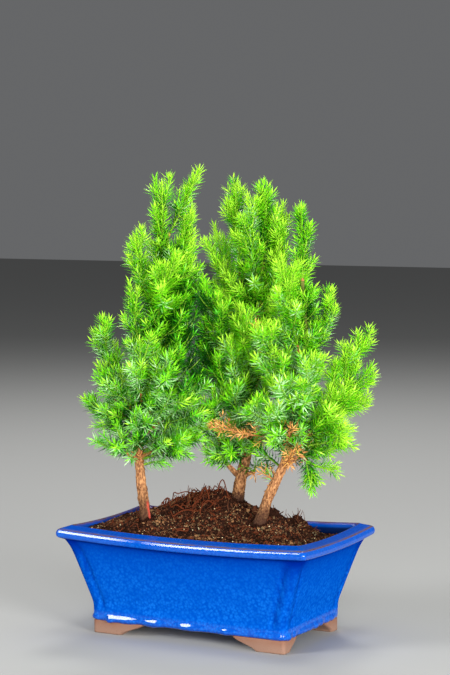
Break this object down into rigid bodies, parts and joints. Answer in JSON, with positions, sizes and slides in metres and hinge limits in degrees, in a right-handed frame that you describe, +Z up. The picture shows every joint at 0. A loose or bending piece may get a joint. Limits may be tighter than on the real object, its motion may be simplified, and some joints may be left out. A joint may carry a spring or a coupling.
{
  "type": "juniper forest bonsai in a glazed pot",
  "caption": "Group of young needle junipers with bare tan trunks and upswept green plumes, planted as a miniature forest in a flared rectangular blue glazed pot on clay feet.",
  "frame": {"origin": "on the table under the middle of the pot, between its four feet", "axes": "+X along the pot's long side to the right, +Y to the back, +Z up"},
  "size_m": [0.2044, 0.1397, 0.344],
  "materials": {
    "glaze": "gloss",
    "clay": "matte",
    "soil": "matte",
    "bark": "matte",
    "needles": "satin",
    "dead_needles": "matte"
  },
  "bodies": {
    "root": {"pot": "glaze", "foot_front_left": "clay", "foot_back_left": "clay", "foot_front_right": "clay", "foot_back_right": "clay", "soil": "soil", "trunk_left": "bark", "trunk_middle": "bark", "trunk_right": "bark", "bough_left_low": "bark", "bough_middle_fork": "bark", "bough_middle_snag": "bark", "bough_middle_second": "bark", "bough_right_arm": "bark", "bough_right_droop": "bark", "foliage_left_spire": "needles", "foliage_left_leader": "needles", "foliage_left_outer_upper": "needles", "foliage_left_inner_upper": "needles", "foliage_left_shoulder": "needles", "foliage_left_outer_mid": "needles", "foliage_left_inner_mid": "needles", "foliage_left_far": "needles", "foliage_left_mid": "needles", "foliage_left_low": "needles", "foliage_left_skirt": "needles", "foliage_left_skirt_inner": "needles", "foliage_left_front": "needles", "foliage_left_front_inner": "needles", "foliage_left_inner_low": "needles", "foliage_left_back_low": "needles", "foliage_left_back_high": "needles", "foliage_middle_leader": "needles", "foliage_middle_spire": "needles", "foliage_middle_peak": "needles", "foliage_middle_right": "needles", "foliage_middle_back_left": "needles", "foliage_middle_inner": "needles", "foliage_middle_left_mid": "needles", "foliage_middle_front": "needles", "foliage_middle_left_low": "needles", "foliage_middle_skirt": "needles", "foliage_middle_back_low": "needles", "foliage_middle_back_high": "needles", "foliage_right_spire": "needles", "foliage_right_outer_upper": "needles", "foliage_right_front_upper": "needles", "foliage_right_front_mid": "needles", "foliage_right_front_low": "needles", "foliage_right_front_inner": "needles", "foliage_right_inner_low": "needles", "foliage_right_arm_tip": "needles", "foliage_right_arm_inner": "needles", "foliage_right_outer_low": "needles", "foliage_right_mid": "needles", "foliage_right_droop": "needles", "foliage_right_skirt": "needles", "foliage_right_back_low": "needles", "foliage_right_back_high": "needles", "dead_twig": "dead_needles"}
  },
  "joints": []
}
